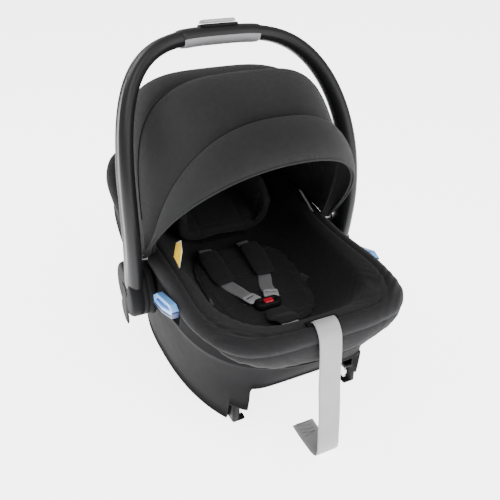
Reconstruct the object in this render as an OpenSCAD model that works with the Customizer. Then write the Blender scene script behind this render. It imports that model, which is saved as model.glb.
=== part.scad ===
// Infant car seat: a carry shell with a turning handle, a folding canopy, a sliding headrest,
// a five-point harness and catches for a base. Foot end at -Y, head end at +Y, floor at z = 0.

/* [Shell] */
// Distance from the middle to the foot end and to the head end of the cover
half_length = 332; // [310:1:350]
// Half of the cover's width
cover_w = 177; // [174:1:177]
// Height of the shell's rim at the foot end
rim_foot_z = 206; // [195:1:210]
// Height of the shell's rim at the head end
rim_head_z = 292; // [280:1:295]
// Wall thickness of the outer shell
shell_wall = 4; // [3:0.5:5]
// Half of the shell's width where it meets the floor
floor_w = 164; // [155:1:168]
// Height of the opening between the two front feet
arch_z = 100; // [80:1:110]

/* [Handle] */
// Height of the handle's pivot above the floor
pivot_z = 158; // [155:1:160]
// Handle's pivot along the length
pivot_y = -12; // [-14:1:-10]
// Height of the grip's middle above the pivot
handle_rise = 400; // [395:1:405]
// Distance of the grip's middle behind the pivot
handle_back = 70; // [60:1:80]
// How far the legs bow to the foot end
handle_bow = 44; // [30:1:50]
// Half of the distance between the legs' middles
handle_w = 208; // [208:1:212]
// Half length of the grip sleeve
grip_half = 70; // [50:1:80]
// Travel of the release button
release_travel = 4; // [2:0.5:4]

/* [Canopy] */
// Canopy's pivot along the length
canopy_y = -22; // [-24:1:-20]
// Canopy's pivot above the floor
canopy_z = 218; // [217:1:220]
// Radius of the canopy's outermost layer
canopy_r = 298; // [290:1:300]
// Angle of the front rim ahead of upright
canopy_front = 43; // [42:1:46]
// Thickness of the folded fabric layer
fabric_t = 2.5; // [2:0.1:2.5]

/* [Seat] */
// Lowest height of the seat's surface
seat_low = 98; // [96:1:104]
// Slope of the back, as rise over run
back_slope = 0.31; // [0.25:0.01:0.35]
// Width of the shoulder webbing
webbing_w = 25; // [22:1:28]
// Width of the adjuster strap
strap_w = 38; // [32:1:40]

/* [Hidden] */
$fn = 48;

// Colours
SHELL_GREY = [0.33, 0.33, 0.34];
HANDLE_GREY = [0.27, 0.27, 0.28];
FABRIC_BLACK = [0.10, 0.10, 0.11];
PAD_BLACK = [0.08, 0.08, 0.09];
LIGHT_GREY = [0.66, 0.66, 0.67];
WEB_GREY = [0.45, 0.45, 0.46];
STRAP_GREY = [0.78, 0.78, 0.78];
GUIDE_BLUE = [0.30, 0.52, 0.85];
STEEL = [0.75, 0.75, 0.77];
BUTTON_RED = [0.70, 0.08, 0.12];
TAG_YELLOW = [0.90, 0.80, 0.10];
FOAM_WHITE = [0.92, 0.92, 0.92];

mid_y = -14;                      // widest place of the seat
rim_n = 4.6;                      // squareness of the rim's corners
around = 48;                      // points round a ring of the soft bowls
shell_around = 60;                // points round a ring of the outer shell

// ---- small helpers ----
function sgn(v) = v < 0 ? -1 : 1;
function mix(a, b, t) = a + (b - a) * t;
function clamp01(t) = min(1, max(0, t));
function unit(v) = v / norm(v);
function powr(v, e) = sgn(v) * pow(abs(v), e);

// Superellipse outline about [0, mid_y] with its own front and back lengths
function outline(a, w, front, back, n) =
    [w * powr(cos(a), 2 / n), mid_y + (sin(a) < 0 ? front : back) * powr(sin(a), 2 / n)];

// Height of the shell's rim along the length
function rim_z(y) = rim_foot_z + (rim_head_z - rim_foot_z)
    * pow(clamp01((y + half_length) / (2 * half_length)), 2.6);

// Skin over rings of n points: wrap joins the last ring to the first, otherwise two centre
// points close the ends
module loft(rings, wrap = false) {
    n = len(rings[0]);
    m = len(rings);
    low = [for (k = [0:2]) mean([for (p = rings[0]) p[k]])];
    high = [for (k = [0:2]) mean([for (p = rings[m - 1]) p[k]])];
    pts = concat([for (r = rings) for (p = r) p], wrap ? [] : [low, high]);
    last = wrap ? m - 1 : m - 2;
    sides = [for (i = [0:last]) for (j = [0:n - 1]) for (h = [0:1])
        let (a = i * n + j, b = i * n + (j + 1) % n,
            c = ((i + 1) % m) * n + j, d = ((i + 1) % m) * n + (j + 1) % n)
        h == 0 ? [a, c, d] : [a, d, b]];
    ends = wrap ? [] : [for (j = [0:n - 1]) for (h = [0:1])
        h == 0 ? [m * n, j, (j + 1) % n]
            : [m * n + 1, (m - 1) * n + (j + 1) % n, (m - 1) * n + j]];
    polyhedron(pts, concat(sides, ends), convexity = 8);
}
function sum(v, i = 0) = i == len(v) ? 0 : v[i] + sum(v, i + 1);
function mean(v) = sum(v) / len(v);

// Flat band along a route; side is the direction of its width
function tangent(r, i) = unit(r[min(i + 1, len(r) - 1)] - r[max(i - 1, 0)]);
function across(t, side) = unit(side - t * (side * t));
function band_ring(p, t, side, w, h) = let (u = across(t, side), v = cross(t, u), b = h * 0.4)
    [for (q = [[w / 2, -b], [w / 2, b], [w / 2 - b, h / 2], [-w / 2 + b, h / 2],
        [-w / 2, b], [-w / 2, -b], [-w / 2 + b, -h / 2], [w / 2 - b, -h / 2]])
        p + u * q[0] + v * q[1]];
module band(route, side, w, h) {
    loft([for (i = [0:len(route) - 1]) band_ring(route[i], tangent(route, i), side, w, h)]);
}

// Points on a smooth curve through a route
function spline_at(p, q, r, s, t) =
    0.5 * ((2 * q) + (r - p) * t + (2 * p - 5 * q + 4 * r - s) * t * t
    + (3 * q - p - 3 * r + s) * t * t * t);
function smooth(route, steps) = let (m = len(route) - 1) concat(
    [for (i = [0:m - 1]) for (k = [0:steps - 1])
        spline_at(route[max(i - 1, 0)], route[i], route[i + 1], route[min(i + 2, m)], k / steps)],
    [route[m]]);

module both_sides(side) {
    if (side > 0) children();
    else mirror([1, 0, 0]) children();
}
// Cylinder along +X from x0 to x1
module rod_x(x0, x1, r) {
    translate([x0, 0, 0]) rotate([0, 90, 0]) cylinder(r = r, h = x1 - x0);
}

// ---- outer shell ----
crease_z = 168;
shell_rim_w = cover_w - 9;
shell_rim_front = mid_y + half_length - 18;
shell_rim_back = half_length - 14 - mid_y;
floor_front = 287;
floor_back = 267;

// Shell outline at a height: blends floor, belly, crease and rim outlines
function level(z, top, lo, b1, b2, hi) =
    z < arch_z ? mix(lo, b1, z / arch_z)
    : z < crease_z ? mix(b1, b2, (z - arch_z) / (crease_z - arch_z))
    : mix(b2, hi, (z - crease_z) / max(1, top - crease_z));
function shell_at(a, z, top, inset) = let (
    w = level(z, top, floor_w, 173, cover_w + 2, shell_rim_w) - inset,
    f = level(z, top, floor_front, 286, 298, shell_rim_front) - inset,
    b = level(z, top, floor_back, 280, 304, shell_rim_back) - inset,
    n = level(z, top, 2.4, 3, 4, rim_n),
    p = outline(a, w, f, b, n)) [p[0], p[1], z];
// Lower edge: on the floor, and raised between the front feet
function from_front(a) = abs(a - 270);
function shell_low(a) = arch_z * clamp01((37 - from_front(a)) / 6);
function shell_top(a) = rim_z(outline(a, shell_rim_w, shell_rim_front, shell_rim_back, rim_n)[1]);
shell_steps = [0, 0.15, 0.35, 0.55, 0.72, 0.86, 1];
function shell_ring(t, inset) = [for (i = [0:shell_around - 1])
    let (a = i * 360 / shell_around, top = shell_top(a), low = shell_low(a))
    shell_at(a, mix(low, top, t), top, inset)];

module outer_shell() {
    color(SHELL_GREY) loft(concat([for (t = shell_steps) shell_ring(t, 0)],
        [for (i = [len(shell_steps) - 1:-1:0]) shell_ring(shell_steps[i], shell_wall)]),
        wrap = true);
}

// ---- seat surface and the bowls under it ----
seat_w = 128;
seat_front = 266;
seat_back = 300;
seat_n = 3.6;
bowl_power = 4;
back_start = -114;                // where the back leaves the seat
floor_blend = 60;
function floor_z(y) = let (t = y - back_start)
    seat_low + back_slope / 2 * (t + sqrt(t * t + floor_blend * floor_blend));
function spread(x, y, w, front, back, n) =
    pow(pow(abs(x) / w, n) + pow(abs(y - mid_y) / (y < mid_y ? front : back), n), 1 / n);
function seat_z(x, y) = let (s = min(1, spread(x, y, seat_w, seat_front, seat_back, seat_n)))
    mix(floor_z(y), rim_z(y), pow(s, bowl_power));
// A ring of the bowl that lies d outside the seat's surface, at share s of its size
function bowl_ring(s, d, drop) = [for (i = [0:around - 1])
    let (a = i * 360 / around,
        q = outline(a, (seat_w + d) * s, (seat_front + d) * s, (seat_back + d) * s, seat_n))
    [q[0], q[1], mix(floor_z(q[1]) - d, rim_z(q[1]) - drop, pow(s, bowl_power))]];
bowl_steps = [0.12, 0.35, 0.55, 0.7, 0.82, 0.91, 0.97, 1];
bowl_last = len(bowl_steps) - 1;
module bowl(inner, outer, drop) {
    loft(concat([for (s = bowl_steps) bowl_ring(s, outer, drop)],
        [for (i = [bowl_last:-1:0]) bowl_ring(bowl_steps[i], inner, drop)]));
}

module seat_pan() {
    color(SHELL_GREY) bowl(21, 24, 2);
}
module foam_liner() {
    color(FOAM_WHITE) bowl(6, 20, 2);
}

// The cover lines the bowl and rolls over the rim down to an elastic hem
hem_side = 9;
hem_front = 62;
hem_turn = -255;                  // where the hem starts to drop towards the foot end
function ease(t) = t * t * (3 - 2 * t);
function hem_z(y) = rim_z(y) - mix(hem_side, hem_front, ease(clamp01((hem_turn - y) / 55)));
function cover_ring(w_in, z_off, to_hem = 0) = [for (i = [0:around - 1])
    let (a = i * 360 / around,
        q = outline(a, cover_w - w_in, mid_y + half_length - w_in,
            half_length - mid_y - w_in, rim_n))
    [q[0], q[1], mix(rim_z(q[1]), hem_z(q[1]), to_hem) + z_off]];
module seat_cover() {
    color(FABRIC_BLACK) loft(concat(
        [for (s = bowl_steps) bowl_ring(s, 5, 0)],
        [cover_ring(24, 2), cover_ring(8.5, 2), cover_ring(7, 0), cover_ring(3, -2, 1),
            cover_ring(0, -2, 1), cover_ring(0, -2), cover_ring(3, 6), cover_ring(18, 11),
            cover_ring(34, 8)],
        [for (i = [bowl_last:-1:0]) bowl_ring(bowl_steps[i], 0, 0)]));
}

// A pad over the seat's surface: a superellipse outline, crowned towards its middle
function pad_ring(cx, cy, w, l, n, s, off, crown) = [for (i = [0:around - 1])
    let (a = i * 360 / around,
        x = cx + w * s * powr(cos(a), 2 / n), y = cy + l * s * powr(sin(a), 2 / n))
    [x, y, seat_z(x, y) + off + crown * (1 - pow(s, 3))]];
pad_steps = [0.15, 0.45, 0.7, 0.88, 1];
module seat_pad(cx, cy, w, l, n, under, edge, crown) {
    last = len(pad_steps) - 1;
    loft(concat([for (s = pad_steps) pad_ring(cx, cy, w, l, n, s, under, 0)],
        [for (i = [last:-1:0]) pad_ring(cx, cy, w, l, n, pad_steps[i], edge, crown)]));
}
insert_cy = -72;
insert_crown = 12;
module infant_insert() {
    color(PAD_BLACK) seat_pad(0, insert_cy, 98, 126, 3, 3, 8, insert_crown);
}

// ---- belt guides ----
guide_in = cover_w + 3;
guide_out = guide_in + 11;
module belt_guide(side) {
    both_sides(side) color(GUIDE_BLUE) translate([guide_in, 0, 0]) rotate([90, 0, 90])
        linear_extrude(guide_out - guide_in) difference() {
            polygon([[-84, 168], [-80, 182], [-100, 196], [-190, 216], [-200, 208],
                [-192, 196], [-128, 174]]);
            polygon([[-94, 178], [-102, 189], [-184, 208], [-189, 203], [-128, 182]]);
        }
}
module left_belt_guide() {
    belt_guide(-1);
}
module right_belt_guide() {
    belt_guide(1);
}
module rear_belt_guide() {
    color(GUIDE_BLUE) translate([0, 0, 150]) difference() {
        translate([-40, 288, 0]) cube([80, 26, 42]);
        translate([-30, 298, 10]) cube([60, 17, 22]);
    }
}

// ---- handle pivots, fixed to the shell ----
base_in = cover_w + 3;
base_out = 190.6;
hub_r = 50;
pin_r = 9;
pin_gap = 0.05;
cap_in = base_out + 0.6;
cap_out = 222.2;
canopy_pin_r = 5;
canopy_pin_in = 178;
lug_in = 188.6;
module hub_base(side) {
    both_sides(side) color(SHELL_GREY) difference() {
        union() {
            translate([0, pivot_y, pivot_z]) rod_x(base_in, base_out, hub_r - 1);
            translate([0, canopy_y, canopy_z]) rod_x(lug_in, base_out, 11);
            translate([lug_in, canopy_y - 11, pivot_z + 30])
                cube([base_out - lug_in, 22, canopy_z - pivot_z - 30]);
        }
        translate([0, pivot_y, pivot_z]) rod_x(base_in - 1, base_out + 1, pin_r);
        translate([0, canopy_y, canopy_z]) rod_x(lug_in - 1, base_out + 1, canopy_pin_r);
        translate([0, canopy_y, canopy_z]) rod_x(base_in - 1, lug_in, 24);
    }
}
module left_hub_base() {
    hub_base(-1);
}
module right_hub_base() {
    hub_base(1);
}
module pivot_pin(side) {
    both_sides(side) color(STEEL) translate([0, pivot_y, pivot_z]) {
        rod_x(base_in, cap_out - 9, pin_r);
    }
}
module left_pivot_pin() {
    pivot_pin(-1);
}
module right_pivot_pin() {
    pivot_pin(1);
}
module canopy_pin(side) {
    both_sides(side) color(STEEL) translate([0, canopy_y, canopy_z])
        rod_x(canopy_pin_in, base_out, canopy_pin_r);
}
module left_canopy_pin() {
    canopy_pin(-1);
}
module right_canopy_pin() {
    canopy_pin(1);
}

// ---- catches for a base ----
foot_in = 97;
foot_out = 113;
foot_front = -236;
foot_deep = 26;
foot_high = 42;
latch_travel = 4;
module foot_block(side) {
    both_sides(side) color(SHELL_GREY) difference() {
        translate([foot_in, foot_front, 0.5]) cube([foot_out - foot_in, foot_deep, foot_high]);
        translate([foot_in + 3, foot_front - 1, 8]) cube([10, foot_deep - 4, 24]);
    }
}
module left_foot_block() {
    foot_block(-1);
}
module right_foot_block() {
    foot_block(1);
}
module latch(side) {
    both_sides(side) color(STEEL) {
        translate([foot_in + 3.4, foot_front + 3, 10]) cube([4, 16, 20]);
        translate([foot_in + 3.4, foot_front - 0.5, 20]) cube([2.5, 3.5, 8]);
    }
}
module left_latch() {
    latch(-1);
}
module right_latch() {
    latch(1);
}
module rear_catch_bar() {
    color(STEEL) translate([0, 196, 30]) rod_x(-114, 114, 5);
}

// ---- harness ----
on_insert = 8 + insert_crown + 3;
function lie(x, y, h) = [x, y, seat_z(x, y) + h];
left_x = -50;
right_x = 36;
web_t = 2;
crotch_y = -222;
buckle_y = -130;
buckle_z = 139;
pad_t = 7;
module strap_side(x) {
    color(WEB_GREY) band(smooth([lie(x * 0.9, 46, 14), lie(x, 20, 20), lie(x, -14, on_insert),
        lie(x * 0.9, -52, on_insert), lie(x * 0.62, -80, on_insert + 1),
        [x * 0.4, buckle_y + 24, buckle_z + 1]], 4), [1, 0, 0], webbing_w, web_t);
}
module left_harness_strap() {
    strap_side(left_x);
}
module right_harness_strap() {
    strap_side(right_x);
}
module shoulder_pad(x) {
    color(PAD_BLACK) band(smooth([lie(x, 24, 21 + pad_t), lie(x, -14, on_insert + pad_t),
        lie(x * 0.93, -60, on_insert + pad_t)], 4), [1, 0, 0], 42, pad_t);
}
module left_shoulder_pad() {
    shoulder_pad(left_x);
}
module right_shoulder_pad() {
    shoulder_pad(right_x);
}
module lap_strap(side) {
    both_sides(side) color(WEB_GREY) band(smooth([lie(96, -96, 14), lie(74, -104, 20),
        lie(52, -116, on_insert + 3), [36, buckle_y + 10, buckle_z]], 4), [0, 1, 0.3],
        webbing_w - 7, web_t);
}
module left_lap_strap() {
    lap_strap(-1);
}
module right_lap_strap() {
    lap_strap(1);
}
module tongue(side) {
    both_sides(side) color(STEEL) translate([14, buckle_y + 10, buckle_z - 4])
        rotate([0, 0, -18]) difference() {
            translate([-11, 0, 0]) cube([22, 20, 2.4]);
            translate([-8, 12, -1]) cube([16, 4, 5]);
        }
}
module left_tongue() {
    tongue(-1);
}
module right_tongue() {
    tongue(1);
}
buckle_w = 50;
buckle_l = 26;
buckle_h = 13;
buckle_travel = 4;
module buckle_housing() {
    color(PAD_BLACK) translate([0, buckle_y, buckle_z - 8]) difference() {
        translate([0, -buckle_l / 2, 0]) hull() {
            for (x = [-1, 1]) for (y = [0, 1])
                translate([x * (buckle_w / 2 - 6), y * (buckle_l - 12) + 6, 0])
                    cylinder(r = 6, h = buckle_h, $fn = 32);
        }
        translate([-9, -10, 4]) cube([18, 14, buckle_h]);
        translate([-30, 6, 3.6]) cube([60, 20, 3.2]);
    }
}
module buckle_button() {
    color(BUTTON_RED) translate([-8.6, buckle_y - 9.6, buckle_z - 8 + 4.5 + buckle_travel])
        cube([17.2, 13.2, 6]);
}
module crotch_strap() {
    color(STRAP_GREY) band(smooth([lie(0, crotch_y - 10, 2), lie(0, crotch_y, 8),
        lie(0, -200, 18), lie(0, -176, 17), [0, -154, buckle_z - 6]], 4), [1, 0, 0], 38, web_t);
}
module crotch_pad() {
    color(PAD_BLACK) band(smooth([lie(0, -214, 18), lie(0, -196, 24), lie(0, -176, 22.5),
        [0, -154, buckle_z - 0.6]], 4), [1, 0, 0], 46, 6);
}
module harness_yoke() {
    color(STEEL) translate([0, 60, 92]) rotate([17, 0, 0]) difference() {
        translate([-28, -18, 0]) cube([56, 36, 2.5]);
        for (x = [-1, 1]) translate([x * 13 - 10, 6, -1]) cube([20, 5, 5]);
        translate([-13, -13, -1]) cube([26, 5, 5]);
    }
}

// ---- adjuster at the foot end ----
slot_y = -312;
module adjuster_housing() {
    color(SHELL_GREY) difference() {
        translate([-30, -279, 96]) cube([60, 40, 16]);
        translate([-21, -280, 100]) cube([42, 42, 8.5]);
    }
}
module adjuster_lever() {
    color(STEEL) {
        translate([0, -262, 105]) rod_x(-20.5, 20.5, 2);
        translate([-20, -262, 103.6]) cube([40, 20, 2]);
    }
}
module adjuster_bezel() {
    color(PAD_BLACK) translate([strap_x, slot_y, rim_z(slot_y) + 11.8]) difference() {
        translate([-26, -5, 0]) cube([52, 10, 3.4]);
        translate([-20, -1.6, -1]) cube([40, 3.2, 6]);
    }
}
strap_t = 1.6;
strap_x = -8;
strap_route = [for (p = [[0, -311, 218], [0, -312.5, 222.5], [0, -317, 224.5], [0, -324, 223],
    [0, -331, 217], [0, -337, 207], [0, -340, 191], [0, -342, 170], [-1, -344, 145],
    [-2, -347, 120], [-2, -350, 95], [-3, -354, 70], [-5, -358, 48], [-7, -362, 30],
    [-8, -364, 16], [-9, -362, 6], [-10, -354, 2], [-10, -340, 1.2], [-10, -325, 1.2],
    [-10, -308, 2.2], [-10, -292, 5.2]]) p + [strap_x, 0, 0]];
module adjuster_strap() {
    color(STRAP_GREY) band(smooth(strap_route, 2), [1, 0, 0], strap_w, strap_t);
}

// ---- small trim ----
module blank_tag() {
    color(TAG_YELLOW) translate([-150, -92, 236]) rotate([0, 12, 0])
        rotate([90, 0, 90]) linear_extrude(1)
            polygon([[-16, 0], [16, 4], [14, 30], [-4, 44], [-16, 30]]);
}
module side_strip() {
    color(LIGHT_GREY) translate([137, -20, 248]) rotate([0, -14, 0])
        rotate([90, 0, 90]) linear_extrude(1) polygon([[-26, 0], [-16, 0], [18, 30], [8, 30]]);
}

// ---- canopy: nested layers that turn about one axis ----
layer_r = 4;                      // radial step from one layer to the next
layer_w = 1.75;                   // the same step along the axis
canopy_w = 191;
canopy_n = 2.5;
function arch_pt(t, w, r) = [w * powr(cos(t), 2 / canopy_n), r * powr(sin(t), 2 / canopy_n)];
arch_from = 9;                    // the fabric starts this far up the arch
function arch_band(k, thick_w, thick_r, t0) = let (w = canopy_w - k * layer_w,
    r = canopy_r - k * layer_r, steps = 24, d = (180 - 2 * t0) / steps) concat(
    [for (i = [0:steps]) arch_pt(t0 + i * d, w, r)],
    [for (i = [steps:-1:0]) arch_pt(t0 + i * d, w - thick_w, r - thick_r)]);
// Fabric layer k from angle a to angle b ahead of upright
module canopy_layer(k, a, b) {
    color(FABRIC_BLACK) translate([0, canopy_y, canopy_z]) rotate([0, 90, 0])
        rotate([0, 0, 180 + a]) rotate_extrude(angle = b - a) polygon(
            [for (p = arch_band(k, layer_w - 0.6, fabric_t, arch_from)) [p[1], p[0]]]);
}
module canopy_bow(k, a) {
    w = canopy_w - k * layer_w;
    color(HANDLE_GREY) translate([0, canopy_y, canopy_z]) rotate([a, 0, 0]) difference() {
        union() {
            translate([0, 4, 0]) rotate([90, 0, 0]) linear_extrude(8)
                polygon(arch_band(k, layer_w - 0.6, layer_r - 1.1, 0.3));
            for (m = [0, 1]) mirror([m, 0, 0])
                rod_x(w - layer_w + 0.3, w - 0.1, 9);
        }
        rod_x(-w - 1, w + 1, canopy_pin_r + pin_gap);
    }
}
rear_angle = -2;
mid_angle = 30;
module canopy_back_panel() {
    canopy_layer(0, -72, -17.5);
}
module canopy_rear_panel() {
    canopy_layer(1, -17, 14);
}
module canopy_rear_bow() {
    canopy_bow(2, rear_angle);
}
module canopy_mid_panel() {
    canopy_layer(3, 14.2, 37.5);
}
module canopy_mid_bow() {
    canopy_bow(4, mid_angle);
}
module canopy_front_panel() {
    canopy_layer(5, 37.7, canopy_front);
}
module canopy_front_bow() {
    canopy_bow(6, canopy_front - 1.5);
}

// ---- handle, in coordinates about its pivot ----
foot_rise = 54;                   // where the arch starts, above the pivot
foot_ahead = -27;
leg_drop = 32;                    // length of the leg below that point
arch_n = 3.4;
arch_low = 0.046;                 // share of the height where the sides start to close
arch_tilt = 12;
function arch_side(q) = [foot_ahead + (handle_back - foot_ahead) * q - 4 * handle_bow * q * (1 - q),
    foot_rise + (handle_rise - foot_rise) * q];
function arch_at(x, q) = [x, arch_side(q)[0], arch_side(q)[1]];
function arch_turn(t) = arch_at(handle_w * pow(cos(t), 2 / arch_n),
    mix(arch_low, 1, pow(sin(t), 2 / arch_n)));
function leg_at(d) = let (a = arch_side(0), b = arch_side(0.02), u = unit(b - a))
    [handle_w, a[0] - u[0] * d, a[1] - u[1] * d];
right_half = concat([for (d = [leg_drop, 22, 11]) leg_at(d)], [arch_at(handle_w, 0)],
    [for (t = [0.3, 1, 2, 4, 7, 11, 16, 22, 29, 37, 46, 55, 64, 72, 79, 84, 87.5]) arch_turn(t)]);
arch_route = concat(right_half, [arch_at(0, 1)],
    [for (i = [len(right_half) - 1:-1:0]) let (p = right_half[i]) [-p[0], p[1], p[2]]]);
depth_way = [0, cos(arch_tilt), -sin(arch_tilt)];
sides_round = 20;
function oval_ring(p, t, hr, hd) = let (w = across(t, depth_way), v = cross(w, t))
    [for (j = [0:sides_round - 1]) let (a = j * 360 / sides_round)
        p + v * (hr * powr(cos(a), 0.85)) + w * (hd * powr(sin(a), 0.85))];
function leg_share(p) = clamp01(1 - p[2] / handle_rise);
function half_r(p) = mix(12.5, 14, leg_share(p));
function half_d(p) = mix(19, 24, leg_share(p));
module at_handle() {
    translate([0, pivot_y, pivot_z]) children();
}
module handle_arch() {
    r = arch_route;
    color(HANDLE_GREY) at_handle() loft([for (i = [0:len(r) - 1])
        oval_ring(r[i], tangent(r, i), half_r(r[i]), half_d(r[i]))]);
}
// Grip zone: the arch's own curve between -grip_half and +grip_half
grip_route = [for (i = [0:10]) let (x = grip_half * (i / 5 - 1))
    arch_at(x, mix(arch_low, 1, pow(1 - pow(abs(x) / handle_w, arch_n), 1 / arch_n)))];
sleeve_t = 1.6;
function sleeve_ring(i, off) = oval_ring(grip_route[i], tangent(grip_route, i),
    half_r(grip_route[i]) + off, half_d(grip_route[i]) + off);
grip_last = len(grip_route) - 1;
module grip_sleeve() {
    color(HANDLE_GREY) at_handle() loft(concat([for (i = [0:grip_last]) sleeve_ring(i, sleeve_t)],
        [for (i = [grip_last:-1:0]) sleeve_ring(i, 0.4)]), wrap = true);
}
pad_thick = 3;
function crescent(i) = let (p = grip_route[i], t = tangent(grip_route, i),
    w = across(t, depth_way), v = cross(w, t), a0 = -55, a1 = 55, n = 10,
    lo = half_r(p) + sleeve_t + 0.3, hi = lo + pad_thick,
    dl = half_d(p) + sleeve_t + 0.3) concat(
    [for (j = [0:n]) let (a = mix(a0, a1, j / n))
        p + v * (hi * powr(cos(a), 0.85)) + w * (dl * powr(sin(a), 0.85))],
    [for (j = [n:-1:0]) let (a = mix(a0, a1, j / n))
        p + v * (lo * powr(cos(a), 0.85)) + w * (dl * powr(sin(a), 0.85))]);
module grip_pad() {
    color(LIGHT_GREY) at_handle() loft([for (i = [0:grip_last]) crescent(i)]);
}
button_w = 60;
button_d = 24;
button_base = 12.5 + sleeve_t;
module at_grip() {
    at_handle() translate(arch_at(0, 1)) rotate([-arch_tilt, 0, 0]) children();
}
module button_collar() {
    color(PAD_BLACK) at_grip() translate([0, 0, button_base - 1.2]) difference() {
        rounded_box(button_w + 7, button_d + 5, 6, 8);
        translate([0, 0, -1]) rounded_box(button_w + 1.4, button_d + 1.4, 8, 6);
    }
}
module rounded_box(w, d, h, r) {
    linear_extrude(h) hull() {
        for (x = [-1, 1]) for (y = [-1, 1])
            translate([x * (w / 2 - r), y * (d / 2 - r)]) circle(r = r, $fn = 32);
    }
}
module release_button() {
    color(LIGHT_GREY) at_grip() translate([0, 0, button_base + 0.6 + release_travel])
        rounded_box(button_w, button_d, 5, 6);
}

// ---- hub caps, which turn with the handle ----
fin_low = 55;
module hub_cap(side) {
    both_sides(side) color(HANDLE_GREY) translate([0, pivot_y, pivot_z]) difference() {
        union() {
            translate([cap_in, 0, 0]) rotate([0, 90, 0]) rotate_extrude()
                polygon([[0, 0], [hub_r, 0], [hub_r, 24], [hub_r - 2, 28], [hub_r - 7, 30],
                    [hub_r - 16, cap_out - cap_in], [0, cap_out - cap_in]]);
            translate([cap_in, 0, 0]) rotate([90, 0, 90]) linear_extrude(24) hull() {
                circle(r = hub_r);
                translate([8, -fin_low + 6]) circle(r = 6);
            }
        }
        rod_x(cap_in - 1, cap_out - 8, pin_r + pin_gap);
        rod_x(cap_in + 4, cap_out + 1, 16.3);
    }
}
module left_hub_cap() {
    hub_cap(-1);
}
module right_hub_cap() {
    hub_cap(1);
}
lock_travel = 3;
module lock_button(side) {
    both_sides(side) color(HANDLE_GREY) translate([0, pivot_y, pivot_z])
        difference() {
            rod_x(cap_out - 7, cap_out + 0.3, 16);
            rod_x(cap_out - 8, cap_out - 1.5, 12);
        }
}
module left_lock_button() {
    lock_button(-1);
}
module right_lock_button() {
    lock_button(1);
}
spring_turns = 3;
module lock_spring(side) {
    low = cap_in + 5;
    high = cap_out - 2.4;
    both_sides(side) color(STEEL) translate([0, pivot_y, pivot_z]) loft(
        [for (i = [0:spring_turns * 12]) let (a = i * 30,
            p = [mix(low, high, i / (spring_turns * 12)), 10.8 * cos(a), 10.8 * sin(a)])
            [for (j = [0:5]) let (b = -j * 60)
                p + [0.7 * sin(b), 0.7 * cos(b) * cos(a), 0.7 * cos(b) * sin(a)]]]);
}
module left_lock_spring() {
    lock_spring(-1);
}
module right_lock_spring() {
    lock_spring(1);
}

// ---- headrest, which slides along the back ----
slope_angle = atan(back_slope);
head_y = 56;
head_w = 96;
wing_h = 96;
module at_headrest() {
    translate([0, head_y, floor_z(head_y) + 19]) rotate([slope_angle, 0, 0]) children();
}
module u_profile(w, h, t, r) {
    difference() {
        hull() {
            for (x = [-1, 1]) translate([x * (w - r), r]) circle(r = r);
            for (x = [-1, 1]) translate([x * (w - 12), h - 12]) circle(r = 12);
        }
        hull() {
            for (x = [-1, 1]) translate([x * (w - r), r + t - 4]) circle(r = r - t);
            translate([-(w - t), h + 10]) square([2 * (w - t), 1]);
        }
    }
}
module headrest_pad() {
    color(PAD_BLACK) at_headrest() translate([0, 138, 5]) rotate([90, 0, 0])
        linear_extrude(138) u_profile(head_w, wing_h, 20, 46);
}
module headrest_board() {
    color(SHELL_GREY) at_headrest() translate([-46, 6, 0]) cube([92, 100, 4.4]);
}
module headrest_lever() {
    color(LIGHT_GREY) at_headrest() translate([-22, 138.6, 8]) difference() {
        cube([44, 7, 12]);
        translate([8, -1, 3]) cube([28, 9, 5]);
    }
}

outer_shell();
seat_pan();
foam_liner();
seat_cover();
infant_insert();
left_belt_guide();
right_belt_guide();
rear_belt_guide();
left_hub_base();
right_hub_base();
left_pivot_pin();
right_pivot_pin();
left_canopy_pin();
right_canopy_pin();
left_foot_block();
right_foot_block();
rear_catch_bar();
adjuster_housing();
adjuster_bezel();
adjuster_strap();
crotch_strap();
crotch_pad();
buckle_housing();
left_tongue();
right_tongue();
left_harness_strap();
right_harness_strap();
left_shoulder_pad();
right_shoulder_pad();
left_lap_strap();
right_lap_strap();
harness_yoke();
blank_tag();
side_strip();
canopy_back_panel();
handle_arch();
grip_sleeve();
grip_pad();
button_collar();
left_hub_cap();
right_hub_cap();
release_button();
left_latch();
right_latch();
left_lock_button();
right_lock_button();
left_lock_spring();
right_lock_spring();
canopy_rear_bow();
canopy_rear_panel();
canopy_mid_bow();
canopy_mid_panel();
canopy_front_bow();
canopy_front_panel();
headrest_board();
headrest_pad();
headrest_lever();
buckle_button();
adjuster_lever();
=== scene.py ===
"""Looks of the infant car seat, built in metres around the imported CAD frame."""

import math

import bmesh
import bpy
import numpy as np
from mathutils import Matrix, Vector


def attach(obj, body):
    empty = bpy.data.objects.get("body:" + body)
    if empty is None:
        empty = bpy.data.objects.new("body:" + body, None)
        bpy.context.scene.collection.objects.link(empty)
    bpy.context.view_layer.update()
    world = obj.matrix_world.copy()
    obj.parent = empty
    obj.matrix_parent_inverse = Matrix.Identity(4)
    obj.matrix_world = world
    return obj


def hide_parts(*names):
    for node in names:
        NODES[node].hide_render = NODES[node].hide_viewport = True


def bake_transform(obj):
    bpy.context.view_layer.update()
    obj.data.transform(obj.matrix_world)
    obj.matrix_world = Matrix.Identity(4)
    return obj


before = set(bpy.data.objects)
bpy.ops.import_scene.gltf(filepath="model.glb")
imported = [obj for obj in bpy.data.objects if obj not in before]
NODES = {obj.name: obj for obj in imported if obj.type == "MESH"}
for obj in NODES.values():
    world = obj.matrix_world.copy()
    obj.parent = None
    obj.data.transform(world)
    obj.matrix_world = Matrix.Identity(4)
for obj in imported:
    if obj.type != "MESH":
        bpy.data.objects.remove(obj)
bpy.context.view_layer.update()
MM = 0.001

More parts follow.
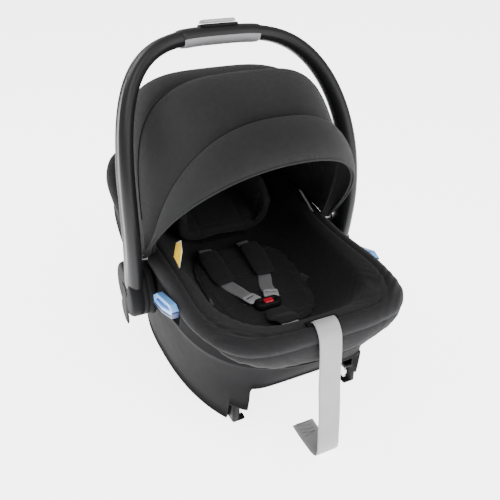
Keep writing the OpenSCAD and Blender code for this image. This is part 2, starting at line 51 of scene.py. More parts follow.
# ---- camera
AZIMUTH, ELEVATION, DISTANCE = math.radians(-26.2), math.radians(29.4), 1.1
back = Vector((math.sin(AZIMUTH) * math.cos(ELEVATION),
        -math.cos(AZIMUTH) * math.cos(ELEVATION), math.sin(ELEVATION)))
camera_data = bpy.data.cameras.new("camera")
camera_data.sensor_width = 36
camera_data.lens = 44.38
camera = bpy.data.objects.new("camera", camera_data)
bpy.context.scene.collection.objects.link(camera)
camera.location = Vector((0, -0.0598, 0.2073)) + back * DISTANCE
camera.rotation_euler = (-back).to_track_quat("-Z", "Y").to_euler()
bpy.context.scene.camera = camera


# ---- materials
# about 2 pi / 20; divided by a period in metres it gives the wave texture's scale
BAND_SCALE = 0.3183


class Shader:
    """A node tree with one Principled shader, and short ways to add nodes to it."""

    def __init__(self, name, color, roughness=0.5, metallic=0.0, specular=0.5):
        self.material = bpy.data.materials.new(name)
        self.material.use_nodes = True
        self.tree = self.material.node_tree
        self.tree.nodes.clear()
        self.out = self.add("ShaderNodeOutputMaterial")
        self.bsdf = self.add("ShaderNodeBsdfPrincipled")
        self.link(self.bsdf.outputs[0], self.out.inputs["Surface"])
        self.bsdf.inputs["Base Color"].default_value = (*color, 1)
        self.bsdf.inputs["Roughness"].default_value = roughness
        self.bsdf.inputs["Metallic"].default_value = metallic
        self.bsdf.inputs["Specular IOR Level"].default_value = specular
        self.material.diffuse_color = (*color, 1)
        self.coords = self.add("ShaderNodeTexCoord")

    def add(self, kind, **sockets):
        node = self.tree.nodes.new(kind)
        for key, value in sockets.items():
            node.inputs[key.replace("_", " ")].default_value = value
        return node

    def link(self, a, b):
        self.tree.links.new(a, b)

    def math(self, operation, a, b):
        node = self.add("ShaderNodeMath")
        node.operation = operation
        for socket, value in zip(node.inputs, (a, b)):
            if isinstance(value, (int, float)):
                socket.default_value = value
            else:
                self.link(value, socket)
        return node.outputs[0]

    def noise(self, scale, detail=3.0, stretch=None):
        node = self.add("ShaderNodeTexNoise", Scale=scale, Detail=detail)
        source = self.coords.outputs["Object"]
        if stretch:
            mapping = self.add("ShaderNodeMapping", Scale=stretch)
            self.link(source, mapping.inputs["Vector"])
            source = mapping.outputs[0]
        self.link(source, node.inputs["Vector"])
        return node.outputs["Fac"]

    def wave(self, period, axis, coords="Object"):
        node = self.add("ShaderNodeTexWave", Scale=BAND_SCALE / period)
        node.wave_type = "BANDS"
        node.bands_direction = axis
        node.wave_profile = "SIN"
        self.link(self.coords.outputs[coords], node.inputs["Vector"])
        return node.outputs["Fac"]

    def tint(self, factor, dark, light):
        ramp = self.add("ShaderNodeValToRGB")
        ramp.color_ramp.elements[0].color = (*dark, 1)
        ramp.color_ramp.elements[1].color = (*light, 1)
        ramp.color_ramp.elements[0].position = 0.3
        ramp.color_ramp.elements[1].position = 0.7
        self.link(factor, ramp.inputs[0])
        self.link(ramp.outputs[0], self.bsdf.inputs["Base Color"])

    def rough(self, factor, low, high):
        node = self.add("ShaderNodeMapRange")
        node.inputs["To Min"].default_value = low
        node.inputs["To Max"].default_value = high
        self.link(factor, node.inputs["Value"])
        self.link(node.outputs[0], self.bsdf.inputs["Roughness"])

    def bump(self, heights):
        """heights: (socket, depth in metres, strength), stacked one on the other."""
        normal = None
        for socket, depth, strength in heights:
            node = self.add("ShaderNodeBump", Strength=strength, Distance=depth)
            self.link(socket, node.inputs["Height"])
            if normal:
                self.link(normal, node.inputs["Normal"])
            normal = node.outputs[0]
        self.link(normal, self.bsdf.inputs["Normal"])


def shade(color, k):
    return tuple(min(1.0, c * k) for c in color)


def plastic(name, color, low, high, grain=0.00004, grain_scale=1400.0, specular=0.5):
    s = Shader(name, color, (low + high) / 2, specular=specular)
    s.tint(s.noise(9.0, 4.0), shade(color, 0.92), shade(color, 1.08))
    s.rough(s.noise(60.0, 5.0), low, high)
    s.bump([(s.noise(grain_scale, 2.0), grain, 1.0), (s.noise(45.0, 2.0), 0.0002, 0.25)])
    return s.material


def fabric(name, color, period=0.0012, depth=0.00025, sheen=0.25, spread=0.14, soft=0.0006):
    s = Shader(name, color, 0.9, specular=0.22)
    s.bsdf.inputs["Sheen Weight"].default_value = sheen
    s.bsdf.inputs["Sheen Roughness"].default_value = 0.45
    warp = s.math("MULTIPLY", s.wave(period, "X"), s.wave(period, "Y"))
    weft = s.math("MULTIPLY", s.wave(period, "Z"), s.wave(period * 1.07, "DIAGONAL"))
    weave = s.math("ADD", warp, weft)
    blend = s.math("ADD", s.math("MULTIPLY", weave, 0.35), s.math("MULTIPLY", s.noise(22.0, 5.0), 0.75))
    s.tint(blend, shade(color, 1 - spread), shade(color, 1 + spread))
    s.rough(s.noise(120.0, 3.0), 0.78, 0.98)
    s.bump([(weave, depth, 0.9), (s.noise(700.0, 3.0), 0.00015, 0.6), (s.noise(38.0, 3.0), soft, 0.6)])
    return s.material


def webbing(name, color, period=0.0016):
    s = Shader(name, color, 0.7, specular=0.35)
    s.bsdf.inputs["Sheen Weight"].default_value = 0.2
    ribs = s.wave(period, "Y", "UV")
    yarns = s.wave(period * 0.8, "X", "UV")
    weave = s.math("ADD", ribs, s.math("MULTIPLY", yarns, 0.6))
    blend = s.math("ADD", s.math("MULTIPLY", weave, 0.4), s.math("MULTIPLY", s.noise(40.0, 4.0), 0.55))
    s.tint(blend, shade(color, 0.86), shade(color, 1.08))
    s.rough(s.noise(200.0, 2.0), 0.6, 0.85)
    s.bump([(weave, 0.0003, 0.9), (s.noise(900.0, 2.0), 0.0001, 0.5)])
    return s.material


def metal(name, color, low, high):
    s = Shader(name, color, low, metallic=1.0)
    s.tint(s.noise(30.0, 3.0), shade(color, 0.9), shade(color, 1.05))
    s.rough(s.noise(60.0, 4.0, stretch=(1, 12, 1)), low, high)
    s.bump([(s.noise(220.0, 3.0, stretch=(1, 14, 1)), 0.00005, 0.4)])
    return s.material


SHELL = plastic("shell_grey", (0.0125, 0.0125, 0.0132), 0.55, 0.68, specular=0.02)
HANDLE = plastic("handle_grey", (0.0082, 0.0082, 0.0088), 0.34, 0.43, specular=0.2)
HUB = plastic("hub_grey", (0.0105, 0.0105, 0.0112), 0.5, 0.62, specular=0.03)
BLACK = plastic("black_plastic", (0.0075, 0.0075, 0.008), 0.42, 0.56, specular=0.08)
LIGHT = plastic("light_plastic", (0.36, 0.36, 0.37), 0.4, 0.5)
RUBBER = plastic("grip_rubber", (0.21, 0.21, 0.218), 0.55, 0.7, grain=0.00008)
BLUE = plastic("guide_blue", (0.13, 0.34, 0.72), 0.28, 0.38)
NAVY = plastic("guide_navy", (0.015, 0.035, 0.11), 0.35, 0.5)
RED = plastic("button_red", (0.52, 0.012, 0.03), 0.28, 0.36)
FOAM = plastic("white_foam", (0.75, 0.75, 0.75), 0.7, 0.9, grain=0.0006, grain_scale=260.0)
COVER = fabric("cover_fabric", (0.0105, 0.0105, 0.0114), sheen=0.05)
MESH_CLOTH = fabric("insert_fabric", (0.0125, 0.0125, 0.0135), period=0.0018, sheen=0.05)
HOOD = fabric("canopy_fabric", (0.0095, 0.0095, 0.0099), period=0.0009, sheen=0.04, soft=0.0003)
WEB = webbing("harness_webbing", (0.13, 0.13, 0.135))
# a near-black copy of the harness webbing for the lap straps: painted shade for the shade they lie in
WEB_PAINTED_SHADE = webbing("webbing_painted_shade", (0.011, 0.011, 0.012))
WEB_LIGHT = webbing("strap_webbing", (0.32, 0.32, 0.32))
WEB_TAIL = fabric("bar_tack", (0.24, 0.24, 0.24), period=0.0008)
TAG = fabric("tag_yellow", (0.78, 0.50, 0.0), period=0.0007, sheen=0.05)
TAG_EDGE = fabric("tag_edge", (0.75, 0.74, 0.66), period=0.0007, sheen=0.05)
STEEL = metal("steel", (0.72, 0.72, 0.74), 0.18, 0.3)
# light grey non-metal for the buckle tongues: the grey colour is painted reflection standing in for polished
# steel
PAINTED_CHROME = plastic("tongue_painted_reflection", (0.36, 0.36, 0.37), 0.16, 0.26, specular=0.9)
# near-black cloth for cords along the canopy's seams: painted shadow for the shade lines in the seam valleys
SEAM_SHADE = fabric("seam_painted_shadow", (0.0022, 0.0022, 0.0024), period=0.0006, sheen=0.0)
DARK_STEEL = metal("pin_steel", (0.45, 0.45, 0.47), 0.3, 0.42)


# ---- mesh helpers
def finish_piece(obj, body, replaced=()):
    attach(obj, body)
    if replaced:
        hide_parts(*replaced)
    return obj


def new_object(name, verts, faces, material, smooth=True, levels=0):
    data = bpy.data.meshes.new(name)
    data.from_pydata([tuple(float(c) for c in v) for v in verts], [], [tuple(f) for f in faces])
    data.validate()
    obj = bpy.data.objects.new(name, data)
    bpy.context.scene.collection.objects.link(obj)
    work = bmesh.new()
    work.from_mesh(data)
    bmesh.ops.recalc_face_normals(work, faces=work.faces)
    work.to_mesh(data)
    work.free()
    data.materials.append(material)
    if smooth:
        data.shade_smooth()
    if levels:
        bake_subdivision(obj, levels)
    return obj


def bake(obj):
    """Applies the object's modifiers to its mesh."""
    graph = bpy.context.evaluated_depsgraph_get()
    graph.update()
    data = bpy.data.meshes.new_from_object(obj.evaluated_get(graph))
    obj.modifiers.clear()
    obj.data = data
    return obj


def bake_subdivision(obj, levels):
    modifier = obj.modifiers.new("subdivision", "SUBSURF")
    modifier.levels = modifier.render_levels = levels
    return bake(obj)


def bevelled(obj, width, segments=3):
    """Rounds the edges that turn by more than 35 degrees."""
    modifier = obj.modifiers.new("bevel", "BEVEL")
    modifier.width = width
    modifier.segments = segments
    modifier.limit_method = "ANGLE"
    modifier.angle_limit = math.radians(35)
    bake(obj)
    obj.data.shade_smooth()
    return obj


def cut(obj, cutter):
    """Takes the cutter's shape out of the object, and the cutter out of the scene."""
    modifier = obj.modifiers.new("cut", "BOOLEAN")
    modifier.object = cutter
    modifier.operation = "DIFFERENCE"
    bake(obj)
    bpy.data.objects.remove(cutter)


def grid_faces(rows, columns, wrap_rows=False, wrap_columns=True):
    faces = []
    for i in range(rows if wrap_rows else rows - 1):
        for j in range(columns if wrap_columns else columns - 1):
            a, b = i * columns + j, i * columns + (j + 1) % columns
            c, d = ((i + 1) % rows) * columns + j, ((i + 1) % rows) * columns + (j + 1) % columns
            faces.append([a, b, d, c])
    return faces


def slab_faces(n):
    """Faces of an outline of n points given thickness: its two ends, then its sides."""
    faces = [list(range(n))[::-1], list(range(n, 2 * n))]
    return faces + [[i, (i + 1) % n, n + (i + 1) % n, n + i] for i in range(n)]


def loft(name, rings, material, caps="both", wrap=False, levels=0):
    """Skin over rings; caps close both ends, or the first, towards a centre point."""
    rings = [np.asarray(r, float) for r in rings]
    rows, columns = len(rings), len(rings[0])
    verts = [v for r in rings for v in r]
    faces = grid_faces(rows, columns, wrap_rows=wrap)
    if not wrap:
        ends = ((0, False), (rows - 1, True))
        for row, flip in (ends[:1] if caps == "first" else ends):
            centre = len(verts)
            verts.append(rings[row].mean(0))
            for j in range(columns):
                a, b = row * columns + j, row * columns + (j + 1) % columns
                faces.append([centre, b, a] if flip else [centre, a, b])
    return new_object(name, verts, faces, material, levels=levels)


def angles(count):
    return np.arange(count) * 2 * math.pi / count


def unit(v):
    v = np.asarray(v, float)
    return v / (np.linalg.norm(v) + 1e-12)


def tangents(route, closed=False):
    route = np.asarray(route, float)
    t = np.roll(route, -1, 0) - np.roll(route, 1, 0)
    if not closed:
        t[0], t[-1] = route[1] - route[0], route[-1] - route[-2]
    return t / np.linalg.norm(t, axis=1)[:, None]


def smooth_route(through, steps):
    """Catmull-Rom curve through the points."""
    p = np.asarray(through, float)
    p = np.vstack([p[0], p, p[-1]])
    out = []
    for i in range(1, len(p) - 2):
        a, b, c, d = p[i - 1], p[i], p[i + 1], p[i + 2]
        for k in range(steps):
            t = k / steps
            out.append(0.5 * (2 * b + (c - a) * t + (2 * a - 5 * b + 4 * c - d) * t * t
                    + (3 * b - a - 3 * c + d) * t ** 3))
    out.append(p[-2])
    return np.array(out)


def power(x, e):
    return np.sign(x) * np.abs(x) ** e


def ease(t):
    t = np.clip(t, 0, 1)
    return t * t * (3 - 2 * t)


def mix(a, b, t):
    return a + (b - a) * t


def strap(name, route, side, width, thick, material, levels=0, crown=0.0, ends=1.0):
    """A band of webbing or a padded strip along a route, with UVs in metres along it."""
    route = np.asarray(route, float)
    t = tangents(route)
    lengths = np.concatenate([[0], np.cumsum(np.linalg.norm(np.diff(route, axis=0), axis=1))])
    steps = np.linspace(-1, 1, 9)
    profile = [(x, 1) for x in steps] + [(x, -1) for x in steps[::-1]]
    rings = []
    for i, p in enumerate(route):
        u = unit(np.asarray(side, float) - t[i] * np.dot(side, t[i]))
        v = np.cross(t[i], u)
        edge = min(lengths[i], lengths[-1] - lengths[i])
        w = width / 2 * (1 - (1 - ends) * (1 - ease(edge / (width * 0.45))))
        full = ease(edge / (thick * 1.2) + 0.35) if crown else 1.0
        ring = []
        for x, s in profile:
            h = (thick / 2) * (1 - 0.75 * abs(x) ** 6) * full
            if crown:
                h = (thick / 2) * full * (1 - abs(x) ** 3.2) ** 0.5 if abs(x) < 1 else 0.0004
                h = max(h, 0.0005) + (crown * (1 - x * x) if s > 0 else 0)
            ring.append(p + u * (w * x) + v * (h * s))
        rings.append(ring)
    obj = loft(name, rings, material)
    layer = obj.data.uv_layers.new(name="UVMap")
    count = len(profile)
    for loop in obj.data.loops:
        k = loop.vertex_index
        i, j = (k // count, k % count) if k < count * len(route) else (0, 0)
        across = profile[j][0] * width / 2
        layer.data[loop.index].uv = (across, lengths[i])
    if levels:
        bake_subdivision(obj, levels)
    return obj


def tube(name, route, radius, material, sides=10, up=(0, 0, 1), closed=False):
    route = np.asarray(route, float)
    t = tangents(route, closed)
    rings = []
    for i, p in enumerate(route):
        ref = np.asarray(up, float)
        if abs(np.dot(ref, t[i])) > 0.95:
            ref = np.array([1.0, 0, 0])
        u = unit(np.cross(t[i], ref))
        v = np.cross(t[i], u)
        rings.append([p + radius * (math.cos(k) * u + math.sin(k) * v) for k in angles(sides)])
    return loft(name, rings, material, wrap=closed)


PRESSURE, PUFF_FRAMES = 4.0, 16


def inflate(obj, cap, voxel):
    """Cloth pressure on a remeshed copy, with each point's travel capped."""
    modifier = obj.modifiers.new("remesh", "REMESH")
    modifier.mode = "VOXEL"
    modifier.voxel_size = voxel
    bake(obj)
    start = np.empty(len(obj.data.vertices) * 3)
    obj.data.vertices.foreach_get("co", start)
    start = start.reshape(-1, 3)
    cloth = obj.modifiers.new("cloth", "CLOTH")
    cloth.settings.use_pressure = True
    cloth.settings.uniform_pressure_force = PRESSURE
    cloth.settings.effector_weights.gravity = 0
    cloth.settings.quality = 5
    cloth.settings.tension_stiffness = 12
    cloth.settings.compression_stiffness = 12
    cloth.settings.bending_stiffness = 0.6
    cloth.point_cache.frame_start = 1
    cloth.point_cache.frame_end = PUFF_FRAMES
    scene = bpy.context.scene
    for f in range(1, PUFF_FRAMES + 1):
        scene.frame_set(f)
    bake(obj)
    scene.frame_set(1)
    moved = np.empty(len(obj.data.vertices) * 3)
    obj.data.vertices.foreach_get("co", moved)
    moved = moved.reshape(-1, 3)
    if len(moved) == len(start):
        step = moved - start
        far = np.linalg.norm(step, axis=1)[:, None] + 1e-9
        moved = start + step * np.minimum(1, cap / far)
        obj.data.vertices.foreach_set("co", moved.ravel())
    bake_subdivision(obj, 1)
    obj.data.shade_smooth()
    return obj


def displace(obj, offsets):
    """Moves vertices along their normals by a function of their positions."""
    n = len(obj.data.vertices)
    co, no = np.empty(n * 3), np.empty(n * 3)
    obj.data.vertices.foreach_get("co", co)
    obj.data.vertices.foreach_get("normal", no)
    co, no = co.reshape(-1, 3), no.reshape(-1, 3)
    obj.data.vertices.foreach_set("co", (co + no * offsets(co)[:, None]).ravel())
    obj.data.update()
    return obj


# ---- adjuster strap, a free flat cord
STRAP_X = -8.0
WEB_THICK = 0.0018
STRAP_ROUTE = [Vector((x + STRAP_X, y, z)) * MM for x, y, z in (
    (0, -311, 218), (0, -312.5, 222.5), (0, -317, 224.5), (0, -324, 223), (0, -331, 217),
    (0, -337, 207), (0, -340, 191), (0, -342, 170), (-1, -344, 145), (-2, -347, 120),
    (-2, -350, 95), (-3, -354, 70), (-5, -358, 48), (-7, -362, 30), (-8, -364, 16),
    (-9, -362, 6), (-10, -354, 2), (-10, -340, 1.2), (-10, -325, 1.2), (-10, -308, 2.2),
    (-10, -292, 5.2))]
strap_line = smooth_route([tuple(p) for p in STRAP_ROUTE], 5)
adjuster_strap = strap("adjuster_webbing", strap_line, (1, 0, 0), 0.038, WEB_THICK, WEB_LIGHT)
finish_piece(adjuster_strap, "shell", ["adjuster_strap"])
tail = [p for p in strap_line if p[2] < 0.006 and p[1] > -0.325]
zigzag = np.array([[p[0] + 0.012 * (-1) ** i, p[1], p[2] + 0.0011] for i, p in enumerate(tail)])
tack = tube("tail_stitching", zigzag, 0.0005, WEB_TAIL, 6)
finish_piece(tack, "shell")


# ---- shared shapes of the shell and seat
HALF_LENGTH, COVER_W, RIM_FOOT, RIM_HEAD = 332.0, 177.0, 206.0, 292.0
MID_Y, RIM_N, HEM_N, BACK_SLOPE, SEAT_LOW = -14.0, 4.6, 2.9, 0.31, 98.0


def outline(a, w, front, back, n):
    """Superellipse plan about the widest place; the sides draw in beside the hubs."""
    y = MID_Y + np.where(np.sin(a) < 0, front, back) * power(np.sin(a), 2 / n)
    return w * power(np.cos(a), 2 / n), y


def bulge(y):
    """Fuller towards both ends than beside the hubs and belt guides."""
    return 1 + 0.052 * (1 - np.exp(-np.abs((y + 70) / 112.0) ** 4))


def rim_z(y):
    share = np.clip((y + HALF_LENGTH) / (2 * HALF_LENGTH), 0, 1)
    return RIM_FOOT + (RIM_HEAD - RIM_FOOT) * share ** 2.6


def floor_z(y):
    t = y + 114.0
    return SEAT_LOW + BACK_SLOPE / 2 * (t + np.sqrt(t * t + 3600.0))


def hem_z(y):
    return rim_z(y) - mix(9.0, 40.0, ease((-262.0 - y) / 60.0))


def points(x, y, z):
    return np.stack([x, y, z], axis=1) * MM


# ---- outer shell
BELLY_Z, CREASE_Z = 100.0, 168.0


def level(z, top, low, belly, crease, rim):
    """Blends the outline's size from the floor to the rim."""
    lower = np.interp(z, [0.0, BELLY_Z, CREASE_Z], [low, belly, crease])
    upper = mix(crease, rim, (z - CREASE_Z) / np.maximum(1.0, top - CREASE_Z))
    return np.where(z < CREASE_Z, lower, upper)


def shell_build():
    a = angles(240)
    y_rim = outline(a, 168, 300, 332, RIM_N)[1]
    top = rim_z(y_rim)
    # the bottom edge steps up beside the feet, and again over the front arch between them
    from_front = np.abs(np.degrees(a) - 270.0)
    low = 40.0 * ease((46.5 - from_front) / 3.0) + 52.0 * ease((33.5 - from_front) / 4.5)
    crease = mix(152.0, 148.0, ease((-205.0 - y_rim) / 90.0)) + 74 * ease((y_rim - 60) / 240)
    crease = np.minimum(crease, top - 22)

    def ring(z, out):
        w = level(z, top, 160, 172, 176, 169) + out
        f = level(z, top, 284, 284, 300, 298) + out
        b = level(z, top, 264, 278, 300, 314) + out
        n = np.where(a > math.pi, level(z, top, 2.4, 2.7, 2.9, 2.9),
                level(z, top, 2.4, 3.0, 4.0, RIM_N))
        x, y = outline(a, w, f, b, n)
        # the lower front edge is set back, so the front slopes in under the lip
        reach = np.interp(z, (92.0, 148.0), (276.0, 319.0)) + out
        y = -(reach - y - np.sqrt((reach + y) ** 2 + 80.0)) / 2
        k = 1 + (bulge(y) - 1) * np.clip((z - 90) / 110, 0, 1)
        x = x * k
        # a shallow pocket behind each belt guide
        pocket = ease((z - 150) / 8) * ease((y + 152) / 10) * ease((-92 - y) / 8)
        x = x - np.sign(x) * 9.0 * pocket * ease((np.abs(x) - 120) / 20)
        return points(x, y, z)

    rows = [ring(low + up, out) for up, out in ((0, 0.0), (0, 2.4), (1.2, 3.2), (4.0, 3.0), (6.0, 0.6))]
    for t in (0.12, 0.28, 0.45, 0.62, 0.78, 0.9):
        rows.append(ring(mix(low + 6, crease - 3, t), -1.5 * math.sin(t * math.pi)))
    rows += [ring(crease - 3, 0.6), ring(crease, 3.0), ring(crease + 1.5, 3.4), ring(crease + 4, 2.4)]
    for t in (0.25, 0.55, 0.85):
        rows.append(ring(mix(crease + 4, top - 4, t), 0.8 - 2 * t))
    rows += [ring(top - 4, -2.0), ring(top - 2, -4.5), ring(top - 4, -7.0)]
    rows += [ring(mix(top - 4, low, t), -7.0 - 1.5 * t) for t in (0.3, 0.6, 0.9)]
    rows.append(ring(low, -3.0))
    return loft("shell_body", rows, SHELL, wrap=True)


shell_body = shell_build()
finish_piece(shell_body, "shell", ["outer_shell"])


# ---- padded cover
SEAT_W, SEAT_F, SEAT_B, SEAT_N = 128.0, 266.0, 300.0, 3.6
COVER_F, COVER_B = MID_Y + HALF_LENGTH, HALF_LENGTH - MID_Y
BOWL_STEPS = (0.06, 0.16, 0.28, 0.4, 0.5, 0.6, 0.68, 0.75, 0.81, 0.86, 0.9, 0.935, 0.965, 0.985, 1.0)


def seat_surface(x, y):
    span = np.where(y < MID_Y, SEAT_F, SEAT_B)
    s = (np.abs(x / SEAT_W) ** SEAT_N + np.abs((y - MID_Y) / span) ** SEAT_N) ** (1 / SEAT_N)
    return mix(floor_z(y), rim_z(y), np.minimum(1, s) ** 4)


def bowl_ring(a, s, out=0.0, lift=0.0):
    """A ring of the bowl, out mm outside the seat's surface."""
    x, y = outline(a, (SEAT_W + 7.0 * s ** 4 + out) * s, (SEAT_F + 6.0 * s ** 4 + out) * s,
            (SEAT_B + out) * s, SEAT_N)
    z = mix(floor_z(y) - out, rim_z(y) + lift, s ** 4)
    return points(x * (1 + (bulge(y) - 1) * s ** 4), y, z)


def cover_line(a, w_in, up, to_hem=0.0, out=0.0):
    """A line round the cover: w_in inside its widest, up above its edge, to_hem of the way down."""
    x, y = outline(a, COVER_W - w_in + out, COVER_F - w_in + out + 3, COVER_B - w_in + out,
            mix(RIM_N, HEM_N, to_hem ** 1.5))
    z = mix(rim_z(y), hem_z(y), to_hem) + up
    return points(x * bulge(y), y, z)


def front_share(a):
    """1 round the foot end of the cover, falling to 0 along its sides."""
    return ease((-outline(a, COVER_W, COVER_F, COVER_B, RIM_N)[1] - 180) / 100)


def cover_build():
    a = angles(192)
    rows = [bowl_ring(a, s, 0.0, 5.0 * float(ease((s - 0.9) / 0.1))) for s in BOWL_STEPS]
    for w_in, up in ((33, 10.0), (28, 11.6), (24.5, 11.2), (22.6, 8.6), (20.8, 11.4), (17, 13.4),
            (12, 13.2), (7, 10.4), (3.6, 6.6), (1.4, 2.4), (0.4, -1.6)):
        rows.append(cover_line(a, w_in, up))
    phase = np.degrees(a)
    wave = np.sin(phase * 0.55 + 1.3) * np.sin(phase * 0.23) + 0.6 * np.sin(phase * 1.31 + 0.4)
    front = front_share(a)
    # a sewn line under the roll, then the skirt, which puffs out and gathers at its elastic hem
    for share, out in ((0.10, -1.4), (0.14, -2.6), (0.18, -1.4), (0.35, 0.0), (0.55, -0.5),
            (0.75, -2.0), (0.9, -4.5), (0.97, -6.5), (1.0, -8.5)):
        gather = wave * (0.3 + 1.3 * share) * (0.35 + front) * 0.55
        rows.append(cover_line(a, 0.4, -3 - 2 * share, share, out * (0.3 + 0.7 * front) + gather))
    rows.append(cover_line(a, 7.0, -6, 1.0, -6.0 * front))
    rows.append(cover_line(a, 14.0, -2, 0.9))
    obj = loft("seat_cover_cloth", rows, COVER, caps="first", levels=1)

    def folds(co):
        x, y, z = co[:, 0] / MM, co[:, 1] / MM, co[:, 2] / MM
        big = np.sin(x * 0.041 + 1.1) * np.sin(y * 0.036 + 0.5) + 0.5 * np.sin(x * 0.09 + y * 0.05)
        corner = np.exp(-((np.abs(x) - 118) ** 2 + (y + 262) ** 2) / 2600.0)
        pleat = np.sin((np.abs(x) * 0.7 - y * 0.7) * 0.55) * corner
        return (big * 0.6 + pleat * 1.3) * MM * np.clip((z - 120) / 60, 0, 1)

    displace(obj, folds)
    return obj


def liner_build(name, inner, outer, drop, material):
    a = angles(96)
    rings = [bowl_ring(a, s, outer, -drop) for s in BOWL_STEPS[::2]]
    rings += [bowl_ring(a, s, inner, -drop) for s in BOWL_STEPS[::-2]]
    return loft(name, rings, material)


foam = liner_build("foam_lining", 5.0, 18.0, 8.0, FOAM)
finish_piece(foam, "shell", ["foam_liner"])
pan = liner_build("seat_pan_shell", 20.0, 23.0, 3.0, SHELL)
finish_piece(pan, "shell", ["seat_pan"])
cover = cover_build()
finish_piece(cover, "shell", ["seat_cover"])


def hem_cord_build():
    """The round elastic edge that follows the cover's hem."""
    a = angles(220)
    route = cover_line(a, 0.4, -5.6, 1.0, -8.0 * (0.3 + 0.7 * front_share(a)))
    return tube("cover_hem", route, 1.7 * MM, COVER, 8, closed=True)


hem_cord = hem_cord_build()
finish_piece(hem_cord, "shell")


# ---- handle
PIVOT_Y, PIVOT_Z = -12.0, 158.0
RISE, BACK_LEAN, BOW, HANDLE_W = 400.0, 70.0, 44.0, 208.0
FOOT_RISE, FOOT_AHEAD, ARCH_N, ARCH_LOW, TILT = 54.0, -27.0, 3.4, 0.046, math.radians(12)
DEPTH_WAY = np.array([0, math.cos(TILT), -math.sin(TILT)])
# half thickness and half depth of the tube, at the top of the arch and at its feet
TUBE_TOP, TUBE_FOOT, GRIP_HALF = (12.5, 19), (14, 24), 70.0


def arch_side(q):
    return (FOOT_AHEAD + (BACK_LEAN - FOOT_AHEAD) * q - 4 * BOW * q * (1 - q),
            FOOT_RISE + (RISE - FOOT_RISE) * q)


def arch_point(x, q):
    y, z = arch_side(q)
    return np.array([x, PIVOT_Y + y, PIVOT_Z + z])


def arch_line():
    first, second = np.array(arch_side(0)), np.array(arch_side(0.02))
    down = unit(first - second)
    half = [np.array([HANDLE_W, PIVOT_Y + first[0] + down[0] * d, PIVOT_Z + first[1] + down[1] * d])
            for d in (46, 45, 42, 36, 24, 12)]
    for t in [*np.linspace(0, 6, 8), *np.linspace(8, 90, 34)]:
        r = math.radians(t)
        half.append(arch_point(HANDLE_W * max(0.0, math.cos(r)) ** (2 / ARCH_N),
                mix(ARCH_LOW, 1, math.sin(r) ** (2 / ARCH_N)) if t > 0 else 0.0))
    half = np.array(half)
    left = half[:-1][::-1] * np.array([-1, 1, 1])
    return np.vstack([half, left])


def handle_section(p, t, off, groove=0.0, end=1.0, span=None):
    """The tube's cross-section at p, grown by off, with an optional groove on its outer side."""
    share = np.clip(1 - (p[2] - PIVOT_Z) / RISE, 0, 1)
    thin, deep = (mix(top, foot, share) + off for top, foot in zip(TUBE_TOP, TUBE_FOOT))
    w = unit(DEPTH_WAY - t * np.dot(DEPTH_WAY, t))
    v = np.cross(w, t)
    outward = 1.0 if np.dot(v, p - np.array([0, p[1], PIVOT_Z + 150])) > 0 else -1.0
    k = angles(48) if span is None else span
    r = np.ones_like(k)
    if groove:
        turn = np.degrees(np.angle(np.exp(1j * (k - (0 if outward > 0 else math.pi)))))
        r = r - groove * np.exp(-(turn / 19.0) ** 4)
    across, along = thin * power(np.cos(k), 0.85) * r, deep * power(np.sin(k), 0.85)
    return p + (across[:, None] * v + along[:, None] * w) * end


def handle_build():
    line = arch_line()
    t = tangents(line)
    rings = []
    for i, p in enumerate(line):
        rank = min(i, len(line) - 1 - i)
        end = (0.45, 0.72, 0.92, 1.0)[rank] if rank < 4 else 1.0
        height = p[2] - PIVOT_Z
        groove = 0.2 * ease((height - 30) / 60) * ease((abs(p[0]) - 76) / 14)
        rings.append(handle_section(p, t[i], 0.0, groove=groove, end=end) * MM)
    return loft("handle_tube", rings, HANDLE, levels=1)


handle = handle_build()
finish_piece(handle, "handle", ["handle_arch"])


def grip_line(half, steps):
    xs = np.linspace(half, -half, steps)
    qs = [mix(ARCH_LOW, 1, (1 - (abs(x) / HANDLE_W) ** ARCH_N) ** (1 / ARCH_N)) for x in xs]
    return np.array([arch_point(x, q) for x, q in zip(xs, qs)])


def sleeve_build():
    line = grip_line(GRIP_HALF, 25)
    t = tangents(line)
    rings = [handle_section(line[0], t[0], 0.2) * MM]
    for i, p in enumerate(line):
        off = 1.0 if i in (0, len(line) - 1) else 1.6
        rings.append(handle_section(p, t[i], off) * MM)
    rings.append(handle_section(line[-1], t[-1], 0.2) * MM)
    return loft("grip_sleeve_shell", rings, HANDLE)


grip = bevelled(sleeve_build(), 0.0005)
finish_piece(grip, "handle", ["grip_sleeve"])


def grip_pad_build():
    """A soft strip wrapped round the underside of the grip, proud of the sleeve."""
    line = grip_line(GRIP_HALF - 1, 31)
    t = tangents(line)
    span = np.linspace(math.radians(125), math.radians(262), 15)
    rings = []
    for i, p in enumerate(line):
        edge = min(i, len(line) - 1 - i)
        thick = 1.9 * (0.35, 0.8)[edge] if edge < 2 else 1.9
        inner = handle_section(p, t[i], 1.9, span=span)
        crown = np.array([thick * (1 - abs(k) ** 6) for k in np.linspace(-1, 1, 15)])
        middle = inner.mean(0) - p
        out = inner + unit(middle) * crown[:, None]
        rings.append(np.vstack([inner, out[::-1]]) * MM)
    return loft("grip_pad_rubber", rings, RUBBER)


pad = grip_pad_build()
finish_piece(pad, "handle", ["grip_pad"])


def at_grip(x, y, z):
    """A point given along the grip's own right, back and up, from the middle of the arch."""
    base = arch_point(0, 1)
    up = np.array([0, math.sin(TILT), math.cos(TILT)])
    return base + np.array([1.0, 0, 0]) * x + DEPTH_WAY * y + up * z


def rounded_rect(w, d, r, inset=0.0, count=12):
    """A rectangle with corners of radius r, drawn in by the inset."""
    ring = []
    for sx, sy, start in ((1, 1, 0), (-1, 1, 90), (-1, -1, 180), (1, -1, 270)):
        for k in range(count):
            q = math.radians(start + 90 * k / (count - 1))
            rr = max(0.3, r - inset)
            ring.append((sx * (w / 2 - r) + rr * math.cos(q), sy * (d / 2 - r) + rr * math.sin(q)))
    return ring


